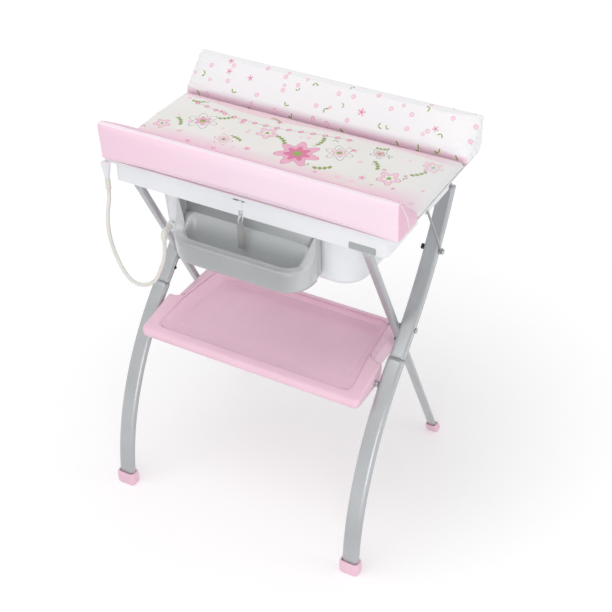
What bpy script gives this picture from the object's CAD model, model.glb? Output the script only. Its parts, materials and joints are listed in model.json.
import json
import math
import bpy
import bmesh
import numpy as np
from types import SimpleNamespace
from mathutils import Matrix, Vector
from mathutils.bvhtree import BVHTree


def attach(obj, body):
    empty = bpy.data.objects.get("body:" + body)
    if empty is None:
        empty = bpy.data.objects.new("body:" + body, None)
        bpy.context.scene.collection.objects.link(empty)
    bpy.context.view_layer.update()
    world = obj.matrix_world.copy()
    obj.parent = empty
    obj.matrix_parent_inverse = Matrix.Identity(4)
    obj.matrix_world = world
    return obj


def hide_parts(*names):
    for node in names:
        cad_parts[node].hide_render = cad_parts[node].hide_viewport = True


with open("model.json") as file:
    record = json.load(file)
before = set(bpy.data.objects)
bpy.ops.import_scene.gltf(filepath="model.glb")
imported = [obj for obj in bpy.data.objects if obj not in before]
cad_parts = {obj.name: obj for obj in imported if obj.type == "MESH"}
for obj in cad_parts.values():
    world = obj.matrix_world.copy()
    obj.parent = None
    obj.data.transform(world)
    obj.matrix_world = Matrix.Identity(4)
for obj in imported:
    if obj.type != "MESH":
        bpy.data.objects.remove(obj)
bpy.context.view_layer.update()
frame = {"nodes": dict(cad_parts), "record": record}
nodes = frame["nodes"]
print("frame loaded:", len(nodes), "nodes")


def addObject(name, data):
    added = bpy.data.objects.new(name, data)
    bpy.context.scene.collection.objects.link(added)
    return added



# Camera at the photograph's place: angles in degrees, lengths in metres, lens for a 36 mm sensor
shot = {"azimuth": 29.3, "elevation": 36.3, "roll": -0.6, "distance": 3.348, "lens": 74.76,
        "target": (0.0343, 0.039, 0.5176)}


def addCamera(values):
    az, el, roll = (math.radians(values[key]) for key in ("azimuth", "elevation", "roll"))
    back = Vector((math.sin(az) * math.cos(el), -math.cos(az) * math.cos(el), math.sin(el)))
    level = Vector((math.cos(az), math.sin(az), 0))
    upright = back.cross(level)
    right = level * math.cos(roll) + upright * math.sin(roll)
    up = -level * math.sin(roll) + upright * math.cos(roll)
    data = bpy.data.cameras.new("photoCamera")
    data.lens = values["lens"]
    data.sensor_width = 36
    camera = addObject("photoCamera", data)
    place = Matrix((right, up, back)).transposed().to_4x4()
    place.translation = Vector(values["target"]) + back * values["distance"]
    camera.matrix_world = place
    bpy.context.scene.camera = camera


addCamera(shot)


# Meshes from stacks of closed rings

weldDistance = 1e-6


# Faces of one stack: row r, column c joins to the next row and column, and both ends are capped
def ringFaces(rows, columns, start):
    r, c = np.meshgrid(np.arange(rows - 1), np.arange(columns), indexing="ij")
    n = (c + 1) % columns
    quads = np.stack([r * columns + c, r * columns + n, (r + 1) * columns + n, (r + 1) * columns + c], -1)
    faces = (quads.reshape(-1, 4) + start).tolist()
    faces.append((start + np.arange(columns)[::-1]).tolist())
    faces.append((start + (rows - 1) * columns + np.arange(columns)).tolist())
    return faces


def ringPiece(name, *stacks):
    points, faces, start = [], [], 0
    for rings in stacks:
        rings = np.asarray(rings, float)
        points.append(rings.reshape(-1, 3))
        faces += ringFaces(rings.shape[0], rings.shape[1], start)
        start += len(points[-1])
    mesh = bpy.data.meshes.new(name)
    mesh.from_pydata(np.concatenate(points).tolist(), [], faces)
    mesh.validate()
    work = bmesh.new()
    work.from_mesh(mesh)
    bmesh.ops.remove_doubles(work, verts=work.verts, dist=weldDistance)
    bmesh.ops.recalc_face_normals(work, faces=work.faces)
    work.to_mesh(mesh)
    work.free()
    mesh.polygons.foreach_set("use_smooth", np.ones(len(mesh.polygons), bool))
    return addObject(name, mesh)


def unit(vectors):
    return vectors / np.linalg.norm(vectors, axis=-1, keepdims=True)


# Rounds a closed polygon: each corner c becomes the curve (1-s)^2 a + 2 s (1-s) c + s^2 b, where a and b
# lie at the corner's radius along its two sides, and each straight side gets extra points
def roundCorners(corners, radii, steps=6, along=0):
    corners = np.asarray(corners, float)
    radii = np.broadcast_to(np.asarray(radii, float), corners.shape[:-1])[..., None]
    before = np.roll(corners, 1, -2) - corners
    after = np.roll(corners, -1, -2) - corners
    a = corners + unit(before) * radii
    b = corners + unit(after) * radii
    s = np.linspace(0, 1, steps)[:, None]
    arcs = (1 - s) ** 2 * a[..., None, :] + 2 * s * (1 - s) * corners[..., None, :] + s ** 2 * b[..., None, :]
    if along:
        u = (np.arange(along) + 1.0)[:, None] / (along + 1)
        sides = b[..., None, :] * (1 - u) + np.roll(a, -1, -2)[..., None, :] * u
        arcs = np.concatenate([arcs, sides], -2)
    return arcs.reshape(corners.shape[:-2] + (-1, 2))


# Section points (p, q) carried along a path in the YZ plane, p along X and q along tangent x X
def sweptRings(path, section):
    normal = unit(np.cross(unit(np.gradient(path, axis=0)), (1, 0, 0)))
    return path[:, None] + section[None, :, :1] * (1, 0, 0) + section[None, :, 1:] * normal[:, None]


# Round tube along a line of points: a circle in the plane of two normals, carried with the least twist
def tubeRings(line, radius, around):
    tangent = unit(np.gradient(line, axis=0))
    first = [unit(np.cross(tangent[0], (0.3, 0.5, 0.8)))]
    for t in tangent[1:]:
        first.append(unit(first[-1] - t * np.dot(first[-1], t)))
    first = np.array(first)
    second = np.cross(tangent, first)
    angle = np.linspace(0, 2 * np.pi, around, endpoint=False)[None, :, None]
    radius = np.broadcast_to(np.asarray(radius, float), (len(line),))[:, None, None]
    return line[:, None] + radius * (np.cos(angle) * first[:, None] + np.sin(angle) * second[:, None])


def boxCorners(halfX, lowY, highY):
    return [(-halfX, lowY), (halfX, lowY), (halfX, highY), (-halfX, highY)]


# Finishes

def newMaterial(name):
    material = bpy.data.materials.new(name)
    material.use_nodes = True
    return material, material.node_tree.nodes["Principled BSDF"]


def setInputs(node, values):
    for key, value in values.items():
        node.inputs[key].default_value = value


class NodeNet:
    def __init__(self, owner):
        self.tree = owner.node_tree
        self.coords = self.add("TexCoord").outputs["Object"]

    def add(self, kind):
        return self.tree.nodes.new("ShaderNode" + kind)

    def link(self, source, target):
        if isinstance(source, (int, float, tuple)):
            target.default_value = source
        else:
            self.tree.links.new(source, target)

    def math(self, operation, a, b=0.0, c=0.0):
        node = self.add("Math")
        node.operation = operation
        for value, socket in zip((a, b, c), node.inputs):
            self.link(value, socket)
        return node.outputs[0]

    def times(self, a, b):
        return self.math("MULTIPLY", a, b)

    def plus(self, a, b):
        return self.math("ADD", a, b)

    def minus(self, a, b):
        return self.math("SUBTRACT", a, b)

    def size(self, a):
        return self.math("ABSOLUTE", a)

    def below(self, a, b):
        return self.math("LESS_THAN", a, b)

    def above(self, a, b):
        return self.math("GREATER_THAN", a, b)

    def vector(self, operation, a, b=(0.0, 0.0, 0.0)):
        node = self.add("VectorMath")
        node.operation = operation
        self.link(a, node.inputs[0])
        self.link(b, node.inputs["Scale" if operation == "SCALE" else 1])
        return node.outputs["Value" if operation == "LENGTH" else "Vector"]

    def split(self, source):
        node = self.add("SeparateXYZ")
        self.link(source, node.inputs[0])
        return node.outputs

    def noise(self, scale, detail, source=None):
        node = self.add("TexNoise")
        setInputs(node, {"Scale": scale, "Detail": detail})
        self.link(source or self.coords, node.inputs["Vector"])
        return node.outputs["Fac"]

    def ramp(self, factor, stops):
        node = self.add("ValToRGB")
        elements = node.color_ramp.elements
        while len(elements) < len(stops):
            elements.new(0.5)
        for element, (place, colour) in zip(elements, stops):
            element.position = place
            element.color = (*colour, 1)
        self.link(factor, node.inputs[0])
        return node.outputs[0]

    def mix(self, factor, a, b):
        node = self.add("Mix")
        node.data_type = "RGBA"
        self.link(factor, node.inputs["Factor"])
        for value, key in ((a, "A"), (b, "B")):
            socket = [s for s in node.inputs if s.name == key and s.type == "RGBA"][0]
            self.link((*value, 1) if isinstance(value, tuple) and len(value) == 3 else value, socket)
        return [s for s in node.outputs if s.type == "RGBA"][0]

    def range(self, value, low, high, newLow=0.0, newHigh=1.0):
        node = self.add("MapRange")
        self.link(value, node.inputs["Value"])
        setInputs(node, {"From Min": low, "From Max": high, "To Min": newLow, "To Max": newHigh})
        return node.outputs["Result"]

    def bump(self, shader, height, strength, distance):
        node = self.add("Bump")
        setInputs(node, {"Strength": strength, "Distance": distance})
        self.link(height, node.inputs["Height"])
        self.link(node.outputs[0], shader.inputs["Normal"])


def linear(r, g, b):
    return tuple((c / 255 / 12.92 if c <= 10 else ((c / 255 + 0.055) / 1.055) ** 2.4) for c in (r, g, b))


# Colour on the screen's 0 to 255, roughness, scale and depth of the fine relief, how far the tone drifts
finishes = {
    "legPaint": ((180, 183, 185), 0.3, 500, 0.000015, 0.05, {"metal": 0.4, "coat": 0.5}),
    "steel": ((168, 170, 172), 0.32, 1400, 0.00003, 0.1, {"metal": 1.0}),
    "blackPlastic": ((38, 38, 40), 0.5, 1500, 0.00006, 0.15, {}),
    "pinkPlastic": ((243, 203, 220), 0.38, 700, 0.00005, 0.03, {"glow": 0.03}),
    "whitePlastic": ((240, 241, 245), 0.3, 500, 0.00004, 0.02, {"coat": 0.15, "glow": 0.1}),
    "greyPlastic": ((164, 167, 168), 0.24, 600, 0.00005, 0.04, {"coat": 0.7}),
    "seamThread": ((222, 160, 188), 0.6, 1500, 0.0001, 0.1, {}),
    "hookPlastic": ((206, 206, 208), 0.2, 600, 0.00002, 0.04, {"coat": 0.6}),
    "hosePlastic": ((232, 230, 224), 0.36, 800, 0.00004, 0.05, {"coat": 0.25, "glow": 0.3}),
    "milkyBand": ((176, 176, 174), 0.35, 300, 0.0002, 0.12, {"alpha": 0.6}),
    "board": ((240, 236, 238), 0.5, 300, 0.00008, 0.03, {}),
}
finishes = {name: dict(options, colour=colour, rough=rough, grain=grain, relief=relief, spread=spread)
            for name, (colour, rough, grain, relief, spread, options) in finishes.items()}


# What all finishes share: scales and spans of their noises, how rough and fine their relief is
surface = SimpleNamespace(
    driftScale=9.0, driftLow=0.3, driftHigh=0.7, speckleScale=450.0, speckle=(0.99, 1.05),
    fineSpan=(0.2, 0.8), roughShares=(0.88, 1.14), bump=0.6, coatRough=0.18, depth=0.004)


# Options: "rear" is the y span over which "rearColour" takes over, and below "floor" the tone is speckled
def makeFinish(name, values):
    material, shader = newMaterial(name)
    net = NodeNet(material)
    colour, spread = linear(*values["colour"]), values["spread"]
    dark = tuple(c * (1 - spread) for c in colour)
    light = tuple(min(1.0, c * (1 + spread)) for c in colour)
    drift = net.noise(surface.driftScale, 4.0)
    tone = net.ramp(drift, [(surface.driftLow, dark), (surface.driftHigh, light)])
    if "rear" in values:
        depth = net.range(net.split(net.coords)[1], *values["rear"])
        tone = net.mix(depth, tone, linear(*values["rearColour"]))
    if "floor" in values:
        low = net.below(net.split(net.coords)[2], values["floor"])
        speckle = net.range(net.noise(surface.speckleScale, 2.0), 0.3, 0.7, *surface.speckle)
        tone = net.mix(low, tone, net.vector("SCALE", tone, speckle))
    net.link(tone, shader.inputs["Base Color"])
    fine = net.noise(values["grain"], 2.0)
    rough = [values["rough"] * share for share in surface.roughShares]
    net.link(net.range(fine, *surface.fineSpan, *rough), shader.inputs["Roughness"])
    net.bump(shader, fine, surface.bump, values["relief"])
    setInputs(shader, {"Metallic": values.get("metal", 0.0), "Coat Weight": values.get("coat", 0.0),
                       "Coat Roughness": surface.coatRough, "Subsurface Weight": values.get("glow", 0.0),
                       "Subsurface Scale": surface.depth, "Alpha": values.get("alpha", 1.0)})
    return material


materials = {name: makeFinish(name, values) for name, values in finishes.items()}
slotFinish = {"leg_paint": "legPaint", "steel": "steel", "pink_plastic": "pinkPlastic",
              "white_plastic": "whitePlastic", "grey_plastic": "greyPlastic", "black_plastic": "blackPlastic",
              "hose_plastic": "hosePlastic", "band_plastic": "milkyBand", "board": "board",
              "mat_cloth": "board", "pink_cloth": "pinkPlastic", "white_cloth": "whitePlastic"}
for part in frame["record"]["subparts"]:
    piece = nodes[part["node"]]
    piece.data.materials.clear()
    finish = "legPaint" if part["node"] == "shelf_rod_collars" else slotFinish[part["material_slot"]]
    piece.data.materials.append(materials[finish])
print("plain finishes made:", len(materials))


def dress(piece, material, slotName, body, *replaced):
    piece.data.materials.clear()
    piece.data.materials.append(material)
    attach(piece, body)
    if replaced:
        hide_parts(*replaced)
    return piece


# Legs: flat oval tubes carried along their arcs

legs = SimpleNamespace(
    outerX=0.349, reach=0.302, lowerRadius=0.736, upperRadius=1.09, footLean=0.7, waistLean=47.3, topZ=0.895,
    soleZ=0.006, wide=0.046, thick=0.022, upperWide=0.0424, upperThick=0.0184, innerX=0.312, innerWide=0.025,
    innerThick=0.016, innerTopZ=0.912, pivotZ=0.589)
footLean, waistLean = math.radians(legs.footLean), math.radians(legs.waistLean)


# Arc from (y0, z0) at the angle a0: y = y0 + R (cos a0 - cos a), z = z0 + R (sin a - sin a0)
def arcPoint(angle, y0, z0, start, radius):
    y = y0 + radius * (math.cos(start) - np.cos(angle))
    return np.stack([0 * angle, y, z0 + radius * (np.sin(angle) - math.sin(start))], -1)


# The upper arc goes on from the waist and bends back, so its radius counts as negative
lowerArc = (-legs.reach, 0, footLean, legs.lowerRadius)
_, waistY, waistZ = arcPoint(np.array(waistLean), *lowerArc)
upperArc = (waistY, waistZ, waistLean, -legs.upperRadius)


def ovalSection(wide, thick):
    angle = np.linspace(0, np.pi, 17)[:, None]
    cap = np.concatenate([np.sin(angle), -np.cos(angle)], 1) * thick / 2
    right = cap + ((wide - thick) / 2, 0)
    left = -cap - ((wide - thick) / 2, 0)
    return np.concatenate([right, left])


pivotLean = math.asin(math.sin(waistLean) - (legs.pivotZ - waistZ) / legs.upperRadius)
pivotY = arcPoint(np.array(pivotLean), *upperArc)[1]


def innerLegY(z):
    return legs.reach - z * (legs.reach - pivotY) / legs.pivotZ


def makeLegs():
    soleAngle = math.asin(legs.soleZ / legs.lowerRadius + math.sin(footLean))
    topAngle = math.asin(math.sin(waistLean) - (legs.topZ - waistZ) / legs.upperRadius)
    lower = arcPoint(np.linspace(soleAngle, waistLean, 60), *lowerArc)
    upper = arcPoint(np.linspace(waistLean, topAngle, 60), *upperArc)
    heights = np.linspace(legs.soleZ, legs.innerTopZ, 40)
    inner = np.stack([0 * heights, innerLegY(heights), heights], -1)
    for side, word in ((-1, "left"), (1, "right")):
        outer = (side * legs.outerX, 0, 0)
        for name, path, size, body, node, shift in (
                ("lowerLeg", lower, ("wide", "thick"), "outer_frame", "outer_lower_leg_", outer),
                ("upperLeg", upper, ("upperWide", "upperThick"), "outer_frame", "outer_upper_leg_", outer),
                ("innerLeg", inner, ("innerWide", "innerThick"), "inner_frame", "inner_leg_",
                 (side * legs.innerX, 0, 0))):
            section = ovalSection(*(getattr(legs, key) for key in size))
            piece = ringPiece(name + word.title(), sweptRings(path + shift, section))
            dress(piece, materials["legPaint"], "leg_paint", body, node + word)


makeLegs()
print("legs made")


# Feet: rounded blocks with a socket round the tube

feet = SimpleNamespace(
    frontWide=0.054, frontDeep=0.034, frontTop=0.038, frontRound=0.012, rearWide=0.033, rearDeep=0.0285,
    rearTop=0.034, rearRound=0.007, edge=0.003, bulge=0.0006, lip=0.0006, gap=0.0004, socketDepth=0.02,
    rearLeanCosine=0.885)


def footRings(centreY, x, wide, deep, top, corner, tubeWide, tubeThick, lean):
    edge, gap = feet.edge, feet.gap
    levels = [(0.0, edge), (edge * 0.3, edge * 0.35), (edge, 0), (top * 0.55, -feet.bulge), (top - edge, 0),
              (top - edge * 0.3, edge * 0.35), (top, edge)]
    plans = [(z, roundCorners(boxCorners(wide / 2 - inset, -deep / 2 + inset, deep / 2 - inset),
                              corner - inset * 0.5, 8)) for z, inset in levels]
    socketY = tubeThick / 2 / lean + gap
    socket = roundCorners(boxCorners(tubeWide / 2 + gap, -socketY, socketY), tubeThick / 2 * 0.98, 8)
    plans += [(top - feet.lip, socket), (top - feet.socketDepth, socket)]
    return [np.column_stack([plan[:, 0] + x, plan[:, 1] + centreY(z), np.full(len(plan), z)])
            for z, plan in plans]


def makeFeet():
    for side, word in ((-1, "left"), (1, "right")):
        for place, centreY, leg, lean, body in (
                ("front", lambda z: -legs.reach, ("outerX", "wide", "thick"), 1.0, "outer_frame"),
                ("rear", innerLegY, ("innerX", "innerWide", "innerThick"), feet.rearLeanCosine,
                 "inner_frame")):
            x, tubeWide, tubeThick = (getattr(legs, key) for key in leg)
            sizes = (getattr(feet, place + key) for key in ("Wide", "Deep", "Top", "Round"))
            rings = footRings(centreY, side * x, *sizes, tubeWide, tubeThick, lean)
            dress(ringPiece(place + "Foot" + word.title(), rings), materials["pinkPlastic"], "pink_plastic",
                  body, place + "_foot_" + word)


makeFeet()
print("feet made")


# Hose: the route's points as control points of a smooth spline

hose = SimpleNamespace(
    diameter=0.010, length=0.465, route=[(-240, -186, 772), (-240, -186, 744), (-245, -187, 713),
    (-256, -191, 678), (-269, -195, 647), (-281, -199, 634), (-296, -205, 627), (-313, -212, 627),
    (-328, -218, 636), (-338, -222, 650), (-350, -227, 678), (-360, -230, 708), (-369, -231, 740),
    (-376, -229, 773), (-381, -223, 806), (-385, -211, 834), (-386, -199, 859), (-386, -199, 884)])


def makeHose():
    curve = bpy.data.curves.new("drainHose", "CURVE")
    curve.dimensions = "3D"
    spline = curve.splines.new("NURBS")
    spline.points.add(len(hose.route) - 1)
    for point, place in zip(spline.points, hose.route):
        point.co = (*(c / 1000 for c in place), 1)
    spline.order_u = 3
    spline.use_endpoint_u = True
    curve.resolution_u = 10
    curve.bevel_depth = hose.diameter / 2
    curve.bevel_resolution = 6
    curve.use_fill_caps = True
    piece = addObject("drainHose", curve)
    dress(piece, materials["hosePlastic"], "hose_plastic", "table_top", "drain_hose")


makeHose()
print("hose made")


# Soap tray: a thick lip carried round a U-shaped outline, whose height sweeps up to the back panel

tray = SimpleNamespace(
    halfWidth=0.190, front=-0.262, back=-0.1655, corner=0.072, lipZ=0.838, bottomZ=0.775, topZ=0.9095,
    floor=0.010, lipWidth=0.030, topWidth=0.006, sweepStart=-0.190, sweepEnd=-0.234, taper=0.10,
    ledgeZ=0.872, pocketHalf=0.158, panelHalf=0.178, panelThick=0.003, panelTop=0.9574, lipDrop=0.002,
    pocketRound=0.028, blockIn=0.0085, blockFrontIn=0.012, blockRound=0.074, scoopSide=0.020,
    scoopFront=0.005, scoopRear=0.029, scoopRound=0.012, wallSpread=0.010, wallFoot=0.008,
    rearColour=(194, 197, 198))


# U outline of the lip's outer edge: down the left side, round the front corners, and back up the right side
def trayOutline():
    x, front, back, r = tray.halfWidth, tray.front, tray.back, tray.corner
    sideY = np.linspace(back, front + r, 26)[:-1]
    left = np.column_stack([np.full(25, -x), sideY])
    turn = np.linspace(0, np.pi / 2, 22)
    cornerLeft = np.column_stack([-x + r - r * np.cos(turn), front + r - r * np.sin(turn)])
    middle = np.column_stack([np.linspace(-x + r, x - r, 42)[1:-1], np.full(40, front)])
    half = np.concatenate([left, cornerLeft])
    return np.concatenate([half, middle, (half * (-1, 1))[::-1]])


# The wall at each outline point is a rounded five-sided section: outer foot, lip, and down to the floor
def trayWall():
    outline = trayOutline()
    tangent = unit(np.gradient(outline, axis=0))
    inward = np.column_stack([-tangent[:, 1], tangent[:, 0]])
    share = np.clip((outline[:, 1] - tray.sweepEnd) / (tray.sweepStart - tray.sweepEnd), 0, 1)
    lift = 1 - np.sqrt(1 - share ** 2 * 0.9999)
    height = tray.lipZ + (tray.topZ - tray.lipZ) * lift
    width = tray.lipWidth + (tray.topWidth - tray.lipWidth) * lift
    outFoot = np.full(len(outline), (tray.lipZ - tray.bottomZ) * tray.taper)
    zero = np.zeros(len(outline))
    floorZ = tray.bottomZ + tray.floor
    inFoot = width + tray.wallSpread + outFoot
    corners = np.stack([np.stack([outFoot, zero + tray.bottomZ], -1), np.stack([zero, height], -1),
                        np.stack([width, height], -1), np.stack([inFoot, zero + floorZ], -1),
                        np.stack([inFoot + tray.wallFoot, zero + tray.bottomZ], -1)], 1)
    radii = np.stack([zero + 0.014, width * 0.30, width * 0.36, zero + 0.003, zero + 0.001], -1)
    section = roundCorners(corners, radii, 10, 2)
    place = outline[:, None] + section[..., :1] * inward[:, None]
    return np.concatenate([place, section[..., 1:]], -1)


# The pocket is a scoop: rings shrink from the opening to the floor, gently from the rear and steeply in front
def trayPocket():
    front, back = tray.front + tray.lipWidth, tray.back - tray.panelThick

    # A height of None follows the tray's top, which rises from the lip to the ledge
    def ring(half, near, far, radius, height, rear=0.8):
        radii = [radius, radius, radius * rear, radius * rear]
        plan = roundCorners(boxCorners(half, near, far), radii, 10, 16)
        share = np.clip((plan[:, 1] - front) / (back - front), 0, 1)
        top = tray.lipZ - tray.lipDrop + (tray.ledgeZ - tray.lipZ) * share ** 2
        return np.column_stack([plan, top + (height - top if height is not None else 0)])

    foot, half, corner = tray.bottomZ + 0.0005, tray.pocketHalf, tray.pocketRound
    outer = (tray.halfWidth - tray.blockIn, tray.front + tray.blockFrontIn, tray.back - 0.0005,
             tray.blockRound)
    rings = [ring(*outer, foot, 0.05), ring(*outer, None, 0.05),
             ring(half + 0.003, front - 0.003, back - 0.001, corner + 0.002, None)]
    opening = ring(half, front, back - 0.003, corner, None)
    opening[:, 2] -= 0.0015
    rings.append(opening)
    floorZ = tray.bottomZ + tray.floor
    for share in (0.12, 0.3, 0.5, 0.7, 0.85, 0.95, 1.0):
        drop = math.sin(share * math.pi / 2)
        plan = ring(half - tray.scoopSide * share, front + tray.scoopFront * share,
                    back - 0.003 - tray.scoopRear * share, corner - tray.scoopRound * share, None)
        plan[:, 2] = opening[:, 2] + (floorZ - opening[:, 2]) * drop
        rings.append(plan)
    return rings


def makeTray():
    half, back, thick = tray.panelHalf, tray.back, tray.panelThick
    bottom, top, edge = tray.bottomZ, tray.panelTop, tray.halfWidth

    def plate(corners, radii, steps):
        plan = roundCorners(corners, radii, steps)
        return [np.column_stack([plan[:, 0], np.full(len(plan), y), plan[:, 1]])
                for y in (back, back - thick)]

    panel = plate([(-half, bottom), (half, bottom), (half, top), (-half, top)],
                  [0.012, 0.012, 0.003, 0.003], 6)
    wings = [plate([(side * half, bottom + 0.01), (side * edge, bottom + 0.02), (side * edge, tray.topZ),
                    (side * half, tray.topZ)], [0.001, 0.006, 0.002, 0.001], 5) for side in (-1, 1)]
    piece = ringPiece("soapTray", trayWall(), trayPocket(), panel, *wings)
    rear = (tray.front + 0.003, tray.front + 0.03)
    material = makeFinish("trayPlastic", dict(finishes["greyPlastic"], rear=rear, rearColour=tray.rearColour))
    dress(piece, material, "grey_plastic", "table_top", "soap_tray")


makeTray()
print("tray made")


# Shelf: rings from the skirt's foot over the rim and down into the recess

shelf = SimpleNamespace(
    frontHalf=0.317, rearHalf=0.291, front=-0.217, step=-0.080, rear=0.095, bottomZ=0.468, frontZ=0.492,
    topZ=0.518, floorZ=0.4875, wall=0.0025, corner=0.014, stepRound=0.006, recessFront=-0.193,
    recessRear=0.084, recessFrontHalf=0.286, recessRearHalf=0.262, recessRound=0.026, recessStepRound=0.004,
    stepSpan=0.02, slopeSide=0.036, slopeFront=0.006, slopeRear=0.010, dip=0.011, dipSpan=0.052,
    edgeDrop=0.003, flatIn=0.012, flatDrop=0.0003, middleY=-0.06, closing=0.98, colour=(249, 209, 226))


def shelfOutline(inset):
    wide, slim = shelf.frontHalf - inset, shelf.rearHalf - inset
    near, step, far = shelf.front + inset, shelf.step - inset, shelf.rear - inset
    corners = [(-wide, near), (wide, near), (wide, step), (slim, step), (slim, far), (-slim, far),
               (-slim, step), (-wide, step)]
    big, small = shelf.corner - inset * 0.6, shelf.stepRound
    return roundCorners(corners, [big, big, small, small, big, big, small, small], 8, 14)


def recessOutline(sideIn, frontIn, rearIn):
    near, far = shelf.recessFront + frontIn, shelf.recessRear - rearIn
    wide, slim = shelf.recessFrontHalf - sideIn, shelf.recessRearHalf - sideIn
    step, big, small = shelf.step, shelf.recessRound, shelf.recessStepRound
    behind = step + shelf.stepSpan
    atStep = wide + (slim - wide) * (step - near) / (far - near)
    after = wide + (slim - wide) * (behind - near) / (far - near)
    corners = [(-wide, near), (wide, near), (atStep, step), (after, behind), (slim, far), (-slim, far),
               (-after, behind), (-atStep, step)]
    return roundCorners(corners, [big, big, small, small, big, big, small, small], 8, 14)


def rimHeight(y):
    return np.interp(y, [shelf.front, shelf.step], [shelf.frontZ, shelf.topZ])


# The floor dips towards the front by dip (1 + cos) / 2, and is level behind the dip's span
def floorHeight(y):
    share = np.clip((y - shelf.recessFront) / shelf.dipSpan, 0, 1)
    return shelf.floorZ - shelf.dip * (1 + np.cos(np.pi * share)) / 2


# Ring of an outline at a height, or at the rim's height less a drop
def ringAt(plan, z):
    return np.column_stack([plan, np.broadcast_to(z, len(plan))])


def rimRing(plan, drop):
    return ringAt(plan, rimHeight(plan[:, 1]) - drop)


# Outline on the recess's slope: share 0 is its upper edge, share 1 its foot
def slopeOutline(share, extra=0):
    slopes = (shelf.slopeSide, shelf.slopeFront, shelf.slopeRear)
    return recessOutline(*(slope * share + extra for slope in slopes))


def makeShelf():
    wall, bottom, edgeDrop = shelf.wall, shelf.bottomZ, shelf.edgeDrop
    inside = shelfOutline(wall)
    rings = [ringAt(slopeOutline(1, wall), shelf.floorZ - wall),
             rimRing(recessOutline(-wall, -wall, -wall), wall),
             rimRing(inside, wall), ringAt(inside, bottom + 0.0005), ringAt(shelfOutline(wall * 0.6), bottom),
             ringAt(shelfOutline(0), bottom + 0.001)]
    for inset, drop in ((0, 0.006), (0.0006, 0.003), (0.0022, 0.0009), (0.005, 0)):
        rings.append(rimRing(shelfOutline(inset), drop))
    for grow, drop in ((0.003, 0), (0.001, 0.0002), (0, 0.0008)):
        rings.append(rimRing(recessOutline(-grow, -grow, -grow), drop))
    high = rimHeight(recessOutline(0, 0, 0)[:, 1])
    for shrink, sink in ((0.0005, 0.002), (0.0009, 0.0048), (0.0026, 0.0048), (0.0034, edgeDrop)):
        rings.append(ringAt(recessOutline(shrink, shrink, shrink), high - sink))
    high = high - edgeDrop
    for share in (0.14, 0.4, 0.7, 0.9, 1.0):
        plan = slopeOutline(share)
        drop = share if share < 0.8 else 1 - (1 - share) * 0.3
        rings.append(ringAt(plan, high + (floorHeight(plan[:, 1]) - high) * drop))
    flat = slopeOutline(1, shelf.flatIn)
    for share in (0, 0.3, 0.55, 0.75, 0.9):
        inner = flat * (1 - share, 1)
        inner[:, 1] += (shelf.middleY - inner[:, 1]) * share * shelf.closing
        rings.append(ringAt(inner, floorHeight(inner[:, 1]) - shelf.flatDrop))
    material = makeFinish("shelfPlastic", dict(finishes["pinkPlastic"], colour=shelf.colour,
                                               floor=shelf.floorZ + 0.0012))
    dress(ringPiece("shelfTray", rings), material, "pink_plastic", "shelf", "shelf")


makeShelf()
print("shelf made")


# Mat: a crowned pad and two wedge cushions in coated cloth

# Drop is how far a wedge reaches below the mat's low side, round is its lower outer edge
mat = SimpleNamespace(
    half=0.400, low=0.9653, padTop=0.985, crown=0.004, ridgeZ=1.0705, ridgeWide=0.018, front=-0.200,
    frontFoot=-0.091, frontLean=0.005, frontDrop=0.001, frontRound=0.005, rear=0.276, rearFoot=0.174,
    rearLean=0.0, rearDrop=-0.003, rearRound=0.014, endRound=0.020, endShare=0.90, endRise=0.10,
    endOver=0.001, padIn=0.002, padGap=0.0015, padEnd=0.012, puffRoom=0.003)


# Wedge section carried along X; near the ends it shrinks about its middle by k = 0.9 + 0.1 (1 - t^4)^(1/4)
def wedgeRings(word, endX):
    outer, foot, lean, drop = (getattr(mat, word + key) for key in ("", "Foot", "Lean", "Drop"))
    way = 1 if foot > outer else -1
    room, endRound = mat.puffRoom, mat.endRound
    corners = np.array([(outer + way * room, mat.low - drop),
                        (outer + way * (room - lean), mat.ridgeZ - room),
                        (outer + way * (room - lean + mat.ridgeWide), mat.ridgeZ - 0.004),
                        (foot - way * room, mat.padTop + 0.004), (foot - way * room, mat.low - drop)])
    section = roundCorners(corners, [getattr(mat, word + "Round"), 0.008, 0.008, 0.005, 0.004], 8, 12)
    x = np.concatenate([-endX + endRound * (1 - np.cos(np.linspace(0, np.pi / 2, 9))),
                        np.linspace(-endX + endRound, endX - endRound, 120)[1:-1],
                        endX - endRound * (1 - np.cos(np.linspace(np.pi / 2, 0, 9)))])
    t = np.clip((np.abs(x) - (endX - endRound)) / endRound, 0, 1)
    k = (mat.endShare + mat.endRise * (1 - t ** 4) ** 0.25)[:, None, None]
    middle = section.mean(0)
    place = middle + (section[None] - middle) * k
    return np.concatenate([np.broadcast_to(x[:, None, None], place.shape[:2] + (1,)), place], -1)


def padRings(endX):
    near, far = mat.frontFoot + mat.padGap, mat.rearFoot - mat.padGap
    top, bottom = mat.padTop - mat.puffRoom, mat.low + 0.001
    corners = np.array([(near, bottom), (far, bottom), (far, top),
                        ((near + far) / 2, mat.padTop + mat.crown - mat.puffRoom), (near, top)])
    section = roundCorners(corners, [0.003, 0.003, 0.006, 0.05, 0.006], 8, 14)
    x = np.linspace(-endX, endX, 140)
    t = np.clip((np.abs(x) - (endX - mat.padEnd)) / mat.padEnd, 0, 1)
    k = (0.5 + 0.5 * np.sqrt(1 - t ** 2 * 0.98))[:, None]
    place = np.repeat(section[None], len(x), 0)
    place[..., 1] = mat.low + (place[..., 1] - mat.low) * k
    return np.concatenate([np.broadcast_to(x[:, None, None], place.shape[:2] + (1,)), place], -1)


def vertexArray(piece, key):
    values = np.empty(len(piece.data.vertices) * 3)
    piece.data.vertices.foreach_get(key, values)
    return values.reshape(-1, 3)


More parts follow.
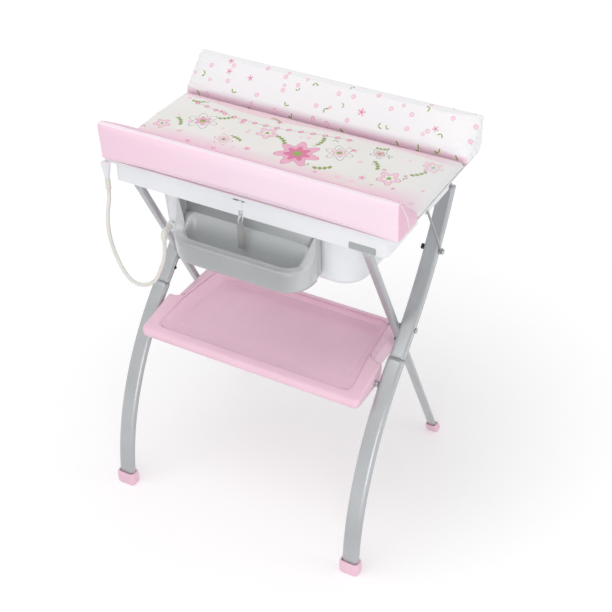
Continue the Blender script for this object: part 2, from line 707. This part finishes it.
# Gathers near both ends: each point sinks along its normal by depth (1 + sin(2 pi s / wave)) / 2, fading
# with exp(-d / reach) by its distance d from the end, where s runs down the section with a slow sway
def gather(piece, depth, wave, reach):
    points, normals = vertexArray(piece, "co"), vertexArray(piece, "normal")
    d = mat.half - np.abs(points[:, 0])
    s = points[:, 1] * 0.8 + points[:, 2] + 0.006 * np.sin(points[:, 0] * 70 + points[:, 2] * 90)
    sink = depth * (1 + np.sin(2 * np.pi * s / wave)) / 2 * np.exp(-np.maximum(d, 0) / reach)
    piece.data.vertices.foreach_set("co", (points - normals * sink[:, None]).ravel())
    piece.data.update()


def applyModifier(piece, kind, **settings):
    modifier = piece.modifiers.new(kind.lower(), kind)
    for key, value in settings.items():
        setattr(modifier, key, value)
    bpy.ops.object.modifier_apply(modifier=modifier.name)


cloth = {"quality": 5, "mass": 0.3, "tension_stiffness": 25, "compression_stiffness": 25,
         "shear_stiffness": 25, "bending_stiffness": 2, "use_pressure": True}
clothFrames = 20
# Per soft piece: the even mesh's size, the air's pressure, the most that a point moves, and its gathers
air = {"pad": {"voxel": 0.005, "pressure": 1.5, "cap": 0.003, "folds": (0.0006, 0.03, 0.05)},
       "front": {"voxel": 0.0045, "pressure": 2.0, "cap": 0.004, "folds": (0.0010, 0.024, 0.03)},
       "rear": {"voxel": 0.0045, "pressure": 2.4, "cap": 0.0036, "folds": (0.0024, 0.022, 0.05)}}


# Cloth with air pressure inside, where a move of length m becomes cap tanh(m / cap)
def blowUp(piece, pressure, cap):
    before = vertexArray(piece, "co")
    modifier = piece.modifiers.new("air", "CLOTH")
    for key, value in cloth.items():
        setattr(modifier.settings, key, value)
    modifier.settings.uniform_pressure_force = pressure
    modifier.settings.effector_weights.gravity = 0
    for step in range(1, clothFrames + 1):
        bpy.context.scene.frame_set(step)
    after = vertexArray(piece.evaluated_get(bpy.context.evaluated_depsgraph_get()), "co")
    piece.modifiers.remove(modifier)
    bpy.context.scene.frame_set(1)
    move = after - before
    length = np.linalg.norm(move, axis=1, keepdims=True)
    move *= cap * np.tanh(length / cap) / np.maximum(length, 1e-9)
    piece.data.vertices.foreach_set("co", (before + move).ravel())


def puff(piece, values):
    bpy.context.view_layer.objects.active = piece
    applyModifier(piece, "REMESH", mode="VOXEL", voxel_size=values["voxel"])
    blowUp(piece, values["pressure"], values["cap"])
    applyModifier(piece, "SMOOTH", factor=0.5, iterations=4)
    piece.data.polygons.foreach_set("use_smooth", np.ones(len(piece.data.polygons), bool))
    gather(piece, *values["folds"])
    applyModifier(piece, "SUBSURF", levels=1, render_levels=1)


# Printed cloth: colours by place, with flowers, leaf pairs and dots set out by cells
prints = {
    "cream": (243, 241, 238), "pinkEdge": (236, 170, 200), "blush": (246, 212, 226), "petal": (240, 178, 204),
    "petalDark": (214, 96, 142), "leaf": (150, 172, 84), "line": (120, 110, 105), "white": (250, 249, 251),
    "face": (255, 229, 243), "ridge": (253, 236, 245), "slope": (240, 192, 214), "washGreen": (234, 235, 224),
    "edge": (237, 238, 240), "deep": (224, 118, 160), "bubble": (251, 217, 229),
}
prints = {key: linear(*value) for key, value in prints.items()}
fullTurn = 6.283
thinLine, rimLine, innerLine = 0.0005, 0.0008, 0.0006


# Motifs in the cells of a flat Voronoi pattern: a flower has radius a (0.68 + 0.32 cos 5t), a leaf pair is
# two ellipses mirrored about the cell's own axis, and a dot is a pale disc in a ring. The share is the
# part of the cells that hold flowers
def scatter(net, flat, base, scale, size, seed, share):
    moved = net.vector("ADD", flat, (seed, seed * 0.37, 0.0))
    cells = net.add("TexVoronoi")
    cells.voronoi_dimensions = "2D"
    setInputs(cells, {"Scale": scale, "Randomness": 0.75})
    net.link(moved, cells.inputs["Vector"])
    local = net.vector("SUBTRACT", moved, cells.outputs["Position"])
    x, y, _ = net.split(local)
    pick, turnShare, _ = net.split(cells.outputs["Color"])
    turn = net.times(turnShare, fullTurn)
    cosine, sine = net.math("COSINE", turn), net.math("SINE", turn)
    u = net.minus(net.times(x, cosine), net.times(y, sine))
    v = net.plus(net.times(x, sine), net.times(y, cosine))
    radius = net.vector("LENGTH", local)
    angle = net.math("ARCTAN2", v, u)
    wave = net.math("COSINE", net.times(angle, 5.0))
    petalEdge = net.math("MULTIPLY_ADD", wave, size * 0.32, size * 0.68)
    isFlower = net.below(pick, share)
    flower = net.times(net.below(radius, petalEdge), isFlower)
    heart = net.times(net.below(radius, size * 0.2), isFlower)
    colour = net.mix(flower, base, prints["petal"])
    colour = net.mix(heart, colour, prints["petalDark"])
    side = net.minus(net.size(u), size * 0.38)
    lean = net.minus(v, net.times(side, 0.8))
    oval = net.plus(net.math("POWER", net.math("DIVIDE", side, size * 0.36), 2.0),
                      net.math("POWER", net.math("DIVIDE", lean, size * 0.22), 2.0))
    isLeaf = net.math("COMPARE", pick, share + 0.14, 0.13)
    leaf = net.times(net.below(oval, 1.0), isLeaf)
    colour = net.mix(leaf, colour, prints["leaf"])
    isDot = net.above(pick, share + 0.34)
    disc = net.times(net.below(radius, size * 0.5), isDot)
    ring = net.times(net.math("COMPARE", radius, size * 0.46, size * 0.06), isDot)
    colour = net.mix(disc, colour, prints["bubble"])
    return net.mix(ring, colour, prints["petal"])


# Sprig of size L turned about its middle: leaves within 0.17 L |sin(3 pi u / L)| of a stem that bends
# by 0.35 L (u / L)^2
def sprig(net, flat, base, x, y, turn, size):
    u, v, _ = net.split(net.vector("SUBTRACT", flat, (x, y, 0.0)))
    c, s = math.cos(turn), math.sin(turn)
    along = net.plus(net.times(u, c), net.times(v, s))
    across = net.minus(net.times(v, c), net.times(u, s))
    bend = net.times(net.math("POWER", net.math("DIVIDE", along, size), 2.0), size * 0.35)
    off = net.size(net.minus(across, bend))
    wave = net.size(net.math("SINE", net.times(along, 3 * math.pi / size)))
    edge = net.math("MULTIPLY_ADD", wave, size * 0.17, innerLine)
    inside = net.times(net.below(off, edge), net.below(net.size(along), size * 0.66))
    vein = net.times(net.below(off, thinLine), inside)
    return net.mix(vein, net.mix(inside, base, prints["leaf"]), prints["line"])


# Garland from lowX to highX: a line on y = y0 + rise sin(x / run), with six-petalled blooms half a gap apart
def garland(net, flat, base, y0, rise, run, gap, size, lowX, highX):
    x, y, _ = net.split(flat)
    wave = net.math("MULTIPLY_ADD", net.math("SINE", net.math("DIVIDE", x, run)), rise, y0)
    off = net.minus(y, wave)
    held = net.times(net.above(x, lowX), net.below(x, highX))
    line = net.times(net.below(net.size(off), thinLine), held)
    step = net.minus(net.math("PINGPONG", x, gap / 2), gap / 4)
    squares = [net.math("POWER", net.size(part), 2.0) for part in (step, off)]
    spot = net.math("SQRT", net.plus(*squares))
    angle = net.times(net.math("ARCTAN2", off, step), 6.0)
    edge = net.math("MULTIPLY_ADD", net.math("COSINE", angle), size * 0.15, size * 0.85)
    bloom = net.times(net.below(spot, edge), held)
    heart = net.times(net.below(spot, size * 0.4), held)
    colour = net.mix(bloom, net.mix(line, base, prints["line"]), prints["deep"])
    return net.mix(heart, colour, prints["bubble"])


# One large flower drawn in line and wash: x, y and radius in metres
def largeFlower(net, flat, base, x, y, size, petals, wash, rimColour, innerWash):
    local = net.vector("SUBTRACT", flat, (x, y, 0.0))
    u, v, _ = net.split(local)
    radius = net.vector("LENGTH", local)
    wave = net.math("COSINE", net.times(net.math("ARCTAN2", v, u), float(petals)))
    edge = net.math("MULTIPLY_ADD", wave, size * 0.2, size * 0.8)
    inside = net.below(radius, edge)
    colour = net.mix(inside, base, wash)
    rim = net.math("COMPARE", radius, edge, rimLine)
    colour = net.mix(rim, colour, rimColour)
    half = net.times(edge, 0.58)
    colour = net.mix(net.below(radius, half), colour, innerWash)
    colour = net.mix(net.math("COMPARE", radius, half, innerLine), colour, rimColour)
    core = net.below(radius, size * 0.2)
    return net.mix(core, colour, prints["leaf"])


clothLook = {"Coat Weight": 0.12, "Coat Roughness": 0.35, "Sheen Weight": 0.08, "Subsurface Weight": 0.08,
             "Subsurface Scale": 0.006}


def clothShader(name):
    material, shader = newMaterial(name)
    net = NodeNet(material)
    weave = net.noise(1600.0, 2.0)
    net.link(net.range(weave, 0.2, 0.8, 0.36, 0.46), shader.inputs["Roughness"])
    creases = net.noise(14.0, 4.0, net.vector("MULTIPLY", net.coords, (0.35, 1.0, 1.0)))
    height = net.math("MULTIPLY_ADD", creases, 1.0, net.times(weave, 0.03))
    net.bump(shader, height, 0.35, 0.004)
    setInputs(shader, clothLook)
    return material, shader.inputs["Base Color"], net


# The pad's print: scattered motifs (scale, size, seed, share), sprigs (x, y, turn, size), a garland
# (y, rise, run, gap, size, low x, high x) and large flowers (x, y, size, petals, wash, rim, inner wash)
padPrint = SimpleNamespace(
    scattered=((13.0, 0.0105, 3.1, 0.24), (15.0, 0.007, 7.7, 0.16)), sprigs=((0.115, -0.02, 0.5, 0.036),
    (-0.035, 0.055, 2.5, 0.036), (0.055, 0.092, 1.6, 0.034), (-0.215, 0.085, 0.7, 0.032),
    (-0.31, 0.02, 2.3, 0.032), (0.225, 0.052, 2.2, 0.032), (0.33, 0.06, 0.9, 0.034),
    (-0.14, 0.01, 2.9, 0.030), (0.2, 0.13, 0.3, 0.026), (-0.33, 0.13, 0.2, 0.026), (-0.1, 0.14, 2.8, 0.026)),
    garland=(0.115, 0.018, 0.09, 0.062, 0.0075, -0.34, 0.12),
    flowers=((0.03, 0.012, 0.058, 7, "petal", "petalDark", "deep"),
    (0.118, 0.062, 0.036, 6, "cream", "line", "blush"),
    (-0.085, 0.066, 0.028, 5, "blush", "petalDark", "cream"),
    (-0.26, 0.045, 0.040, 6, "cream", "line", "petal"),
    (0.275, 0.01, 0.030, 5, "blush", "petalDark", "cream"),
    (-0.165, -0.01, 0.026, 6, "cream", "petalDark", "blush"),
    (0.205, 0.105, 0.024, 5, "cream", "line", "petal"),
    (-0.345, -0.012, 0.022, 5, "blush", "petalDark", "cream"),
    (0.345, 0.105, 0.026, 6, "blush", "petalDark", "cream")), bandIn=0.03, bandRise=0.012, bandWaves=11.0,
    bandShare=0.4, topDrop=0.0045)


def padCloth():
    material, target, net = clothShader("padCloth")
    x, y, z = net.split(net.coords)
    flat = net.vector("MULTIPLY", net.coords, (1.0, 1.0, 0.0))
    drift = net.math("MULTIPLY_ADD", net.noise(5.0, 2.0), 0.03, -0.015)
    across = net.range(net.plus(y, drift), mat.frontFoot, mat.rearFoot)
    base = net.ramp(across, [(0.0, prints["pinkEdge"]), (0.13, prints["blush"]), (0.30, prints["cream"]),
                               (0.86, prints["cream"]), (1.0, prints["blush"])])
    wash = net.ramp(net.noise(7.0, 1.5, flat), [(0.46, (0.0, 0.0, 0.0)), (0.6, (1.0, 1.0, 1.0))])
    colour = net.mix(net.times(wash, 0.3), base, prints["washGreen"])
    for motifs in padPrint.scattered:
        colour = scatter(net, flat, colour, *motifs)
    for place in padPrint.sprigs:
        colour = sprig(net, flat, colour, *place)
    wave = net.math("SINE", net.times(x, padPrint.bandWaves))
    band = net.math("MULTIPLY_ADD", wave, padPrint.bandRise, mat.rearFoot - padPrint.bandIn)
    tint = net.times(net.above(y, band), padPrint.bandShare)
    colour = garland(net, flat, net.mix(tint, colour, prints["petal"]), *padPrint.garland)
    for *place, wash, rim, inner in padPrint.flowers:
        colour = largeFlower(net, flat, colour, *place, prints[wash], prints[rim], prints[inner])
    colour = net.mix(net.range(x, 0.31, 0.40, 0.0, 0.75), colour, prints["edge"])
    upper = net.above(z, mat.padTop - padPrint.topDrop)
    net.link(net.mix(upper, prints["edge"], colour), target)
    return material


# The rear cushion's print lies on its slope and leaves its outer side and its ends white
rearPrint = SimpleNamespace(
    scattered=((19.0, 0.0115, 1.9, 0.16), (15.0, 0.009, 5.3, 0.22)), slope=(0.79, 0.62), sideIn=0.009,
    endX=0.398, footLow=-0.002, footHigh=0.009)


def rearCloth():
    material, target, net = clothShader("rearCloth")
    x, y, z = net.split(net.coords)
    flat = net.add("CombineXYZ")
    net.link(x, flat.inputs[0])
    shareY, shareZ = rearPrint.slope
    net.link(net.math("MULTIPLY_ADD", z, shareZ, net.times(y, shareY)), flat.inputs[1])
    tone = net.range(z, mat.padTop + rearPrint.footLow, mat.padTop + rearPrint.footHigh)
    colour = net.ramp(tone, [(0.0, prints["blush"]), (1.0, prints["white"])])
    for motifs in rearPrint.scattered:
        colour = scatter(net, flat.outputs[0], colour, *motifs)
    inner = net.times(net.below(y, mat.rear - rearPrint.sideIn), net.below(net.size(x), rearPrint.endX))
    net.link(net.mix(inner, prints["white"], colour), target)
    return material


# The front cushion's tones: pale face and ridge, deeper on the slope behind it and on the ends
frontTones = SimpleNamespace(
    faceEnd=(252, 214, 233), ridgeDrop=0.009, slopeSpan=(0.014, 0.024), endSpan=(0.3965, 0.3985))


def frontCloth():
    material, target, net = clothShader("frontCloth")
    x, y, z = net.split(net.coords)
    along = net.range(x, -mat.half, mat.half)
    face = net.ramp(along, [(0.0, linear(*frontTones.faceEnd)), (0.6, prints["face"])])
    top = net.above(z, mat.ridgeZ - frontTones.ridgeDrop)
    behind = net.range(y, *(mat.front + place for place in frontTones.slopeSpan))
    colour = net.mix(behind, net.mix(top, face, prints["ridge"]), prints["slope"])
    ends = net.range(net.size(x), *frontTones.endSpan)
    net.link(net.mix(ends, colour, prints["slope"]), target)
    return material


# Round thread laid on a cushion: each point of its line is moved to the nearest place on the surface
def seam(name, piece, corners, count, radius, material, slotName):
    work = bmesh.new()
    work.from_mesh(piece.data)
    tree = BVHTree.FromBMesh(work)
    work.free()
    laid = np.array([tree.find_nearest(Vector(point))[0] for point in between(corners, count)])
    return dress(ringPiece(name, tubeRings(laid, radius, 8)), material, slotName, "mat")


def between(points, count):
    points = np.asarray(points, float)
    t = np.linspace(0, len(points) - 1, count)
    return np.stack([np.interp(t, np.arange(len(points)), points[:, i]) for i in range(3)], -1)


# Threads: how far each line lies in from the cushion's outer side and above its ridge, and its radius
threads = SimpleNamespace(
    frontIn=0.017, frontUp=0.01, front=0.0009, rearIn=0.034, rearUp=0.006, rear=0.0007, piping=0.0011,
    pipingOut=0.01)


def makeMat():
    endX, ridgeZ = mat.half + mat.endOver, mat.ridgeZ
    pad = ringPiece("matPad", padRings(mat.half - mat.padIn))
    puff(pad, air["pad"])
    dress(pad, padCloth(), "mat_cloth", "mat", "mat_pad")
    front = ringPiece("frontCushion", wedgeRings("front", endX))
    puff(front, air["front"])
    dress(front, frontCloth(), "pink_cloth", "mat", "front_bolster")
    rear = ringPiece("rearCushion", wedgeRings("rear", endX))
    puff(rear, air["rear"])
    rearMaterial = rearCloth()
    dress(rear, rearMaterial, "white_cloth", "mat", "rear_bolster")

    def across(y, z):
        return [(-endX, y, z), (endX, y, z)]

    seam("frontSeam", front, across(mat.front + threads.frontIn, ridgeZ + threads.frontUp), 160,
         threads.front, materials["seamThread"], "pink_cloth")
    seam("rearSeam", rear, across(mat.rear - threads.rearIn, ridgeZ + threads.rearUp), 160,
         threads.rear, rearMaterial, "white_cloth")
    for side, word in ((-1, "Left"), (1, "Right")):
        x = side * (endX + threads.pipingOut)
        gusset = [(x, mat.front + 0.006, ridgeZ - 0.006), (x, mat.front + 0.035, mat.low + 0.05),
                  (x, mat.front + 0.05, mat.low + 0.012)]
        seam("frontPiping" + word, front, gusset, 50, threads.piping, rearMaterial, "white_cloth")
        gusset = [(x, mat.rear - 0.008, ridgeZ - 0.008), (x, mat.rearFoot + 0.006, mat.padTop + 0.002)]
        seam("rearPiping" + word, rear, gusset, 50, threads.piping, rearMaterial, "white_cloth")


makeMat()
print("mat made")


# Strap: a bent rod hook and the ribbed tail band

strap = SimpleNamespace(
    x=-0.010, rod=0.0018, faceY=-0.1895, top=0.927, low=0.894, tailHalf=0.0085, tailTop=0.9, tailLow=0.822,
    tailY=-0.1935, tailThick=0.0012, ribs=26, ribDepth=0.0005, edgeDrop=0.0004, flatShare=0.92)


def makeStrap():
    x, y = strap.x, strap.faceY
    high, low = strap.top, strap.low
    middle = (high + low) / 2
    points = [(x - 0.0035, y, high), (x + 0.0035, y, high), (x + 0.0038, y - 0.0006, middle + 0.004),
              (x + 0.0062, y - 0.0012, middle - 0.004), (x + 0.0056, y - 0.002, low + 0.003),
              (x + 0.001, y - 0.0022, low + 0.001), (x - 0.0046, y - 0.002, low + 0.004),
              (x - 0.0058, y - 0.0012, middle - 0.004), (x - 0.0036, y - 0.0006, middle + 0.004),
              (x - 0.0035, y, high)]
    loop = tubeRings(between(points, 90), strap.rod, 10)
    tongue = [(x + 0.0008, y - 0.0016, middle + 0.006), (x - 0.0012, y - 0.0036, middle - 0.002),
              (x - 0.0052, y - 0.0036, low + 0.005), (x - 0.0038, y - 0.0028, low - 0.003)]
    radius = strap.rod * (0.7 + 1.1 * np.sin(np.linspace(0.25, np.pi - 0.2, 30)))
    piece = ringPiece("strapHook", loop, tubeRings(between(tongue, 30), radius, 10))
    dress(piece, materials["hookPlastic"], "white_plastic", "table_top", "strap_hook")
    height = np.linspace(strap.tailTop, strap.tailLow, strap.ribs * 8 + 1)
    wave = np.abs(np.sin(np.linspace(0, np.pi * strap.ribs, len(height)))) * strap.ribDepth
    half, face, drop = strap.tailHalf, strap.tailY, strap.edgeDrop
    back, flat = face + strap.tailThick, half * strap.flatShare
    rings = [[(x - half, back, z), (x + half, back, z), (x + half, face + drop - w, z),
              (x + flat, face - w, z),
              (x - flat, face - w, z), (x - half, face + drop - w, z)] for z, w in zip(height, wave)]
    dress(ringPiece("strapTail", rings), materials["milkyBand"], "band_plastic", "table_top", "strap_tail")


makeStrap()
print("strap made")


# Floor, light and background

studio = {"floorSize": 60, "floor": (0.95, 0.95, 0.955), "floorGlow": (0.19, 0.40), "glowSpan": (0.5, 2.2),
          "world": 0.62, "aim": (0, 0, 0.6),
          "lamps": [("keyLight", (-0.6, -1.0, 3.6), 2.4, 28), ("faceLight", (1.4, -2.9, 0.8), 1.6, 19),
                    ("sideLight", (3.0, 0.4, 1.2), 1.4, 9)]}


# 1 for what the picture shows, straight, mirrored or through a clear piece, and 0 for light on the object
def seenShare(net):
    path = net.add("LightPath")
    share = path.outputs["Is Camera Ray"]
    for name in ("Is Glossy Ray", "Is Transmission Ray"):
        share = net.math("MAXIMUM", share, path.outputs[name])
    return share


def makeStudio(values):
    bpy.ops.mesh.primitive_plane_add(size=values["floorSize"], location=(0, 0, 0))
    floor = bpy.context.object
    floor.name = "studioFloor"
    material, shader = newMaterial("studioFloor")
    setInputs(shader, {"Base Color": (*values["floor"], 1), "Roughness": 0.9, "Specular IOR Level": 0.1,
                       "Emission Color": (1, 1, 1, 1)})
    net = NodeNet(material)
    away = net.range(net.vector("LENGTH", net.coords), *values["glowSpan"], *values["floorGlow"])
    net.link(net.times(seenShare(net), away), shader.inputs["Emission Strength"])
    floor.data.materials.append(material)
    world = bpy.data.worlds.new("studio")
    world.use_nodes = True
    background = world.node_tree.nodes["Background"]
    setInputs(background, {"Color": (1, 1, 1, 1)})
    sky = NodeNet(world)
    sky.link(sky.range(seenShare(sky), 0.0, 1.0, values["world"]), background.inputs["Strength"])
    bpy.context.scene.world = world
    for name, place, size, power in values["lamps"]:
        data = bpy.data.lights.new(name, "AREA")
        data.size = size
        data.energy = power
        lamp = addObject(name, data)
        lamp.location = place
        lamp.rotation_euler = (Vector(values["aim"]) - Vector(place)).to_track_quat("-Z", "Y").to_euler()
    bpy.context.scene.view_settings.view_transform = "Standard"


makeStudio(studio)
print("studio made")
